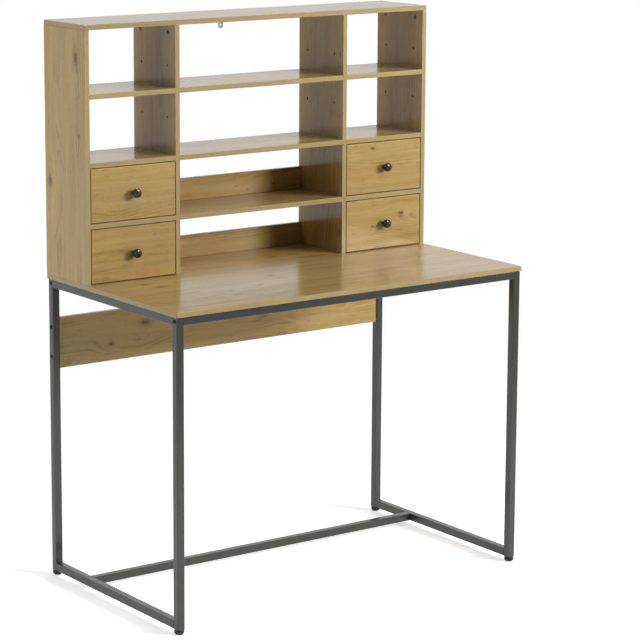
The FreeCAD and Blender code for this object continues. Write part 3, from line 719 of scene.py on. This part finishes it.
def makeFastenerTree():
    tree, inputs, output = newNodeTree("fastenerRow", [
        ("Head Diameter", "Float"), ("Head Height", "Float"), ("Dome", "Float"), ("Shank Diameter", "Float"),
        ("Shank Length", "Float"), ("Socket Size", "Float"), ("Socket Depth", "Float"), ("Cross Socket", "Bool"),
        ("Seed", "Int"), ("Material", "Material")])
    radius = calc(tree, "MULTIPLY", inputs["Head Diameter"], 0.5)
    high = inputs["Head Height"]
    cap = addNode(tree, "GeometryNodeMeshCylinder", Vertices=fastenerShape["headSides"], Radius=radius, Depth=high,
                  Fill_Segments=fastenerShape["headRings"])
    spot = addNode(tree, "ShaderNodeSeparateXYZ",
                   Vector=addNode(tree, "GeometryNodeInputPosition").outputs[0]).outputs
    far = calc(tree, "SQRT", calc(tree, "ADD", calc(tree, "MULTIPLY", spot[0], spot[0]),
                                  calc(tree, "MULTIPLY", spot[1], spot[1])))
    away = calc(tree, "DIVIDE", far, radius)
    under = calc(tree, "MAXIMUM", calc(tree, "SUBTRACT", 1.0, calc(tree, "MULTIPLY", away, away)), 0.0)
    arch = calc(tree, "SUBTRACT", calc(tree, "SQRT", under), 1.0)
    onTop = calc(tree, "GREATER_THAN", spot[2], 0.0)
    drop = calc(tree, "MULTIPLY", calc(tree, "MULTIPLY", arch, inputs["Dome"]), onTop)
    half = calc(tree, "MULTIPLY", high, 0.5)
    domed = addNode(tree, "GeometryNodeSetPosition", Geometry=cap.outputs["Mesh"],
                    Offset=joinVector(tree, 0.0, 0.0, calc(tree, "ADD", drop, half)))

    deepCut = calc(tree, "MULTIPLY", inputs["Socket Depth"], 2.0)
    hexagon = addNode(tree, "GeometryNodeMeshCylinder", Vertices=6, Depth=deepCut,
                      Radius=calc(tree, "MULTIPLY", inputs["Socket Size"], fastenerShape["hexRadius"]))
    armWide = calc(tree, "MULTIPLY", inputs["Socket Size"], fastenerShape["armWidth"])
    armAlong = addNode(tree, "GeometryNodeMeshCube", Size=joinVector(tree, inputs["Socket Size"], armWide, deepCut))
    armAcross = addNode(tree, "GeometryNodeMeshCube", Size=joinVector(tree, armWide, inputs["Socket Size"], deepCut))
    crossed = addNode(tree, "GeometryNodeMeshBoolean", {"operation": "UNION"})
    tree.links.new(armAlong.outputs[0], crossed.inputs[1])
    tree.links.new(armAcross.outputs[0], crossed.inputs[1])
    choice = addNode(tree, "GeometryNodeSwitch", {"input_type": "GEOMETRY"}, Switch=inputs["Cross Socket"])
    tree.links.new(hexagon.outputs["Mesh"], choice.inputs[1])
    tree.links.new(crossed.outputs[0], choice.inputs[2])
    lifted = addNode(tree, "GeometryNodeTransform", Geometry=choice.outputs[0],
                     Translation=joinVector(tree, 0.0, 0.0, high))
    head = addNode(tree, "GeometryNodeMeshBoolean", {"operation": "DIFFERENCE"})
    tree.links.new(domed.outputs[0], head.inputs[0])
    tree.links.new(lifted.outputs[0], head.inputs[1])

    shank = addNode(tree, "GeometryNodeMeshCylinder", Vertices=fastenerShape["shankSides"],
                    Depth=inputs["Shank Length"],
                    Radius=calc(tree, "MAXIMUM", calc(tree, "MULTIPLY", inputs["Shank Diameter"], 0.5),
                                fastenerShape["leastShank"]))
    sunk = addNode(tree, "GeometryNodeTransform", Geometry=shank.outputs["Mesh"],
                   Translation=joinVector(tree, 0.0, 0.0, calc(tree, "MULTIPLY", inputs["Shank Length"], -0.5)))
    shown = addNode(tree, "GeometryNodeSwitch", {"input_type": "GEOMETRY"},
                    Switch=calc(tree, "GREATER_THAN", inputs["Shank Diameter"], fastenerShape["leastShank"]))
    tree.links.new(sunk.outputs[0], shown.inputs[2])
    whole = addNode(tree, "GeometryNodeJoinGeometry")
    tree.links.new(head.outputs[0], whole.inputs[0])
    tree.links.new(shown.outputs[0], whole.inputs[0])
    rounded = addNode(tree, "GeometryNodeSetShadeSmooth", Geometry=whole.outputs[0])
    bend = addNode(tree, "GeometryNodeInputMeshEdgeAngle").outputs[0]
    crisp = addNode(tree, "GeometryNodeSetShadeSmooth", {"domain": "EDGE"}, Geometry=rounded.outputs[0])
    feed(tree, crisp.inputs["Shade Smooth"], calc(tree, "LESS_THAN", bend, math.radians(meshing["headSharp"])))

    out = addNode(tree, "GeometryNodeInputNamedAttribute", {"data_type": "FLOAT_VECTOR"}, Name="out").outputs[0]
    aim = addNode(tree, "FunctionNodeAlignRotationToVector", {"axis": "Z"}, Vector=out).outputs[0]
    row = addNode(tree, "GeometryNodeInstanceOnPoints", Points=inputs["Geometry"], Instance=crisp.outputs[0],
                  Rotation=aim)
    twist = addNode(tree, "FunctionNodeRandomValue", {"data_type": "FLOAT"}, Seed=inputs["Seed"])
    twist.inputs[3].default_value = 2 * math.pi
    turned = addNode(tree, "GeometryNodeRotateInstances", Instances=row.outputs[0],
                     Rotation=joinVector(tree, 0.0, 0.0, twist.outputs[1]))
    turned.inputs["Local Space"].default_value = True
    real = addNode(tree, "GeometryNodeRealizeInstances", Geometry=turned.outputs[0])
    finish = addNode(tree, "GeometryNodeSetMaterial", Geometry=real.outputs[0], Material=inputs["Material"])
    tree.links.new(finish.outputs[0], output.inputs[0])
    return tree


fastenerRow = makeFastenerTree()
# Places in Y and Z that both sides of the desk share
camPlaces = [(0.1295, 1.319), (0.2515, 1.319), (0.1905, 0.763)]
boltPlaces = [(-0.2705, 0.7225), (0.2705, 0.7225), (0.2705, 0.5435), (0.2705, 0.6155)]
# Each fastener's seat, under its head, and the way that the head faces
seats = {
    "frame_bolts": [((way * 0.4975, y, z), (way, 0, 0)) for way in (-1, 1) for y, z in boltPlaces],
    "desktop_screws": [((x, y, 0.713), (0, 0, -1)) for x in (-0.488, 0.488) for y in (-0.131, 0.131)],
    "bracket_screw": [((0, 0.2675, 1.336), (0, 0, -1))],
    "cam_fittings": [((x, y, z), (way, 0, 0)) for x, way in ((-0.497, 1), (-0.243, -1), (0.243, 1), (0.497, -1))
                     for y, z in camPlaces],
}

for seed, (node, sizes) in enumerate(fasteners.items()):
    points = bpy.data.meshes.new(node + "_seats")
    points.from_pydata([place for place, way in seats[node]], [], [])
    ways = points.attributes.new("out", "FLOAT_VECTOR", "POINT")
    ways.data.foreach_set("vector", [value for place, way in seats[node] for value in way])
    mesh = runTree(fastenerRow, points, node + "_set", {
        "Head Diameter": sizes["head"], "Head Height": sizes["high"], "Dome": sizes["dome"],
        "Shank Diameter": sizes["shank"], "Shank Length": sizes["length"], "Socket Size": sizes["socket"],
        "Socket Depth": sizes["deep"], "Cross Socket": sizes["cross"], "Seed": seed,
        "Material": materials.get(node) or materials[slotOf[node]]})
    addPiece(node + "_set", mesh, node)
    print(node, len(mesh.polygons), "faces")


# Studio: the floor's reach, grey, fade to white, own light and dimmer front, and the sky's levels in front and behind

studio = {
    "floorReach": 90.0, "floorGrey": 0.86, "floorFade": (0.9, 2.6), "floorLift": 0.55,
    "floorFront": (0.3, -3.0, -0.4), "ambient": (0.05, 0.09), "mirrored": (0.30, 0.92), "horizon": 0.35,
    "lamps": {
        # name: place, aim, width, height, power, and whether it lights matt and glossy finishes
        "key": ((3.72, -4.66, 2.76), (0.0, 0.0, 1.0), 1.9, 1.3, 314.0, True, False),
        "keyGloss": ((4.29, -4.77, 1.60), (0.37, -0.1, 0.75), 0.9, 0.74, 38.0, False, True),
        "gleam": ((0.62, -0.98, 3.3), (0.0, 0.0, 0.9), 0.42, 0.42, 60.0, False, True),
        "fill": ((-2.10, 0.25, 1.10), (-0.5, 0.15, 1.0), 1.2, 1.5, 16.0, True, False),
        "overhead": ((1.0, -2.3, 3.95), (0.1, 0.0, 1.0), 2.6, 2.2, 48.5, True, True),
        "rear": ((3.20, 4.40, 2.30), (0.0, 0.0, 0.9), 2.4, 2.0, 120.0, True, False),
    },
}


# Rays that see the floor as the white background
def whiteRay(tree):
    path = tree.nodes.new("ShaderNodeLightPath").outputs
    seen = calc(tree, "ADD", path["Is Camera Ray"], path["Is Glossy Ray"])
    return calc(tree, "ADD", seen, path["Is Transmission Ray"], clamp=True)


def makeFloor():
    reach = studio["floorReach"]
    mesh = bpy.data.meshes.new("studioFloor")
    mesh.from_pydata([(-reach, -reach, 0), (reach, -reach, 0), (reach, reach, 0), (-reach, reach, 0)], [],
                     [(0, 1, 2, 3)])
    floor = bpy.data.objects.new("studioFloor", mesh)
    scene.collection.objects.link(floor)
    material, tree = newMaterial("paleFloor")
    place = addNode(tree, "ShaderNodeTexCoord").outputs["Object"]
    distance = addNode(tree, "ShaderNodeVectorMath", {"operation": "LENGTH"}, Vector=place).outputs["Value"]
    far = smooth(tree, distance, *studio["floorFade"])
    seen = whiteRay(tree)
    plain = addNode(tree, "ShaderNodeBsdfDiffuse", Color=(*[studio["floorGrey"]] * 3, 1.0)).outputs[0]
    lift = addNode(tree, "ShaderNodeEmission", Strength=calc(tree, "MULTIPLY", seen, studio["floorLift"])).outputs[0]
    near = tree.nodes.new("ShaderNodeAddShader")
    tree.links.new(plain, near.inputs[0])
    tree.links.new(lift, near.inputs[1])
    dim, start, end = studio["floorFront"]
    spot = addNode(tree, "ShaderNodeSeparateXYZ", Vector=place).outputs
    forward = calc(tree, "MULTIPLY", smooth(tree, spot[1], start, end, 1.0 - dim, 0.0),
                   tree.nodes.new("ShaderNodeLightPath").outputs["Is Glossy Ray"])
    white = addNode(tree, "ShaderNodeEmission", Strength=calc(tree, "SUBTRACT", 1.0, forward)).outputs[0]
    mix = tree.nodes.new("ShaderNodeMixShader")
    for socket, value in zip(mix.inputs, (calc(tree, "MULTIPLY", seen, far), near.outputs[0], white)):
        feed(tree, socket, value)
    output = tree.nodes.new("ShaderNodeOutputMaterial")
    tree.links.new(mix.outputs[0], output.inputs[0])
    mesh.materials.append(material)


# The backdrop behind the desk is bright and the front of the room is dimmer
def makeWorld():
    world = bpy.data.worlds.new("studioWorld")
    world.use_nodes = True
    tree = world.node_tree
    tree.nodes.clear()
    way = addNode(tree, "ShaderNodeSeparateXYZ", Vector=addNode(tree, "ShaderNodeTexCoord").outputs["Generated"])
    behind = smooth(tree, way.outputs[1], -studio["horizon"], studio["horizon"])
    path = tree.nodes.new("ShaderNodeLightPath").outputs

    def level(pair):
        return calc(tree, "ADD", pair[0], calc(tree, "MULTIPLY", behind, pair[1] - pair[0]))

    def choose(share, first, second):
        return calc(tree, "ADD", calc(tree, "MULTIPLY", share, second),
                    calc(tree, "MULTIPLY", calc(tree, "SUBTRACT", 1.0, share), first))

    bent = calc(tree, "ADD", path["Is Glossy Ray"], path["Is Transmission Ray"], clamp=True)
    strength = choose(bent, level(studio["ambient"]), level(studio["mirrored"]))
    strength = choose(path["Is Camera Ray"], strength, 1.0)
    sky = addNode(tree, "ShaderNodeBackground", Color=(1.0, 1.0, 1.0, 1.0), Strength=strength)
    output = tree.nodes.new("ShaderNodeOutputWorld")
    tree.links.new(sky.outputs[0], output.inputs[0])
    scene.world = world


def makeLamps():
    for name, (place, aim, width, height, power, onMatt, onGloss) in studio["lamps"].items():
        light = bpy.data.lights.new(name + "Lamp", "AREA")
        light.shape = "RECTANGLE"
        light.size, light.size_y = width, height
        light.energy = power
        lamp = bpy.data.objects.new(name + "Lamp", light)
        scene.collection.objects.link(lamp)
        lamp.location = place
        lamp.rotation_euler = (Vector(aim) - Vector(place)).to_track_quat("-Z", "Y").to_euler()
        lamp.visible_camera = False
        lamp.visible_diffuse, lamp.visible_glossy = onMatt, onGloss


makeFloor()
makeWorld()
makeLamps()
scene.view_settings.view_transform = "Standard"
print("studio lit")

bpy.context.view_layer.update()
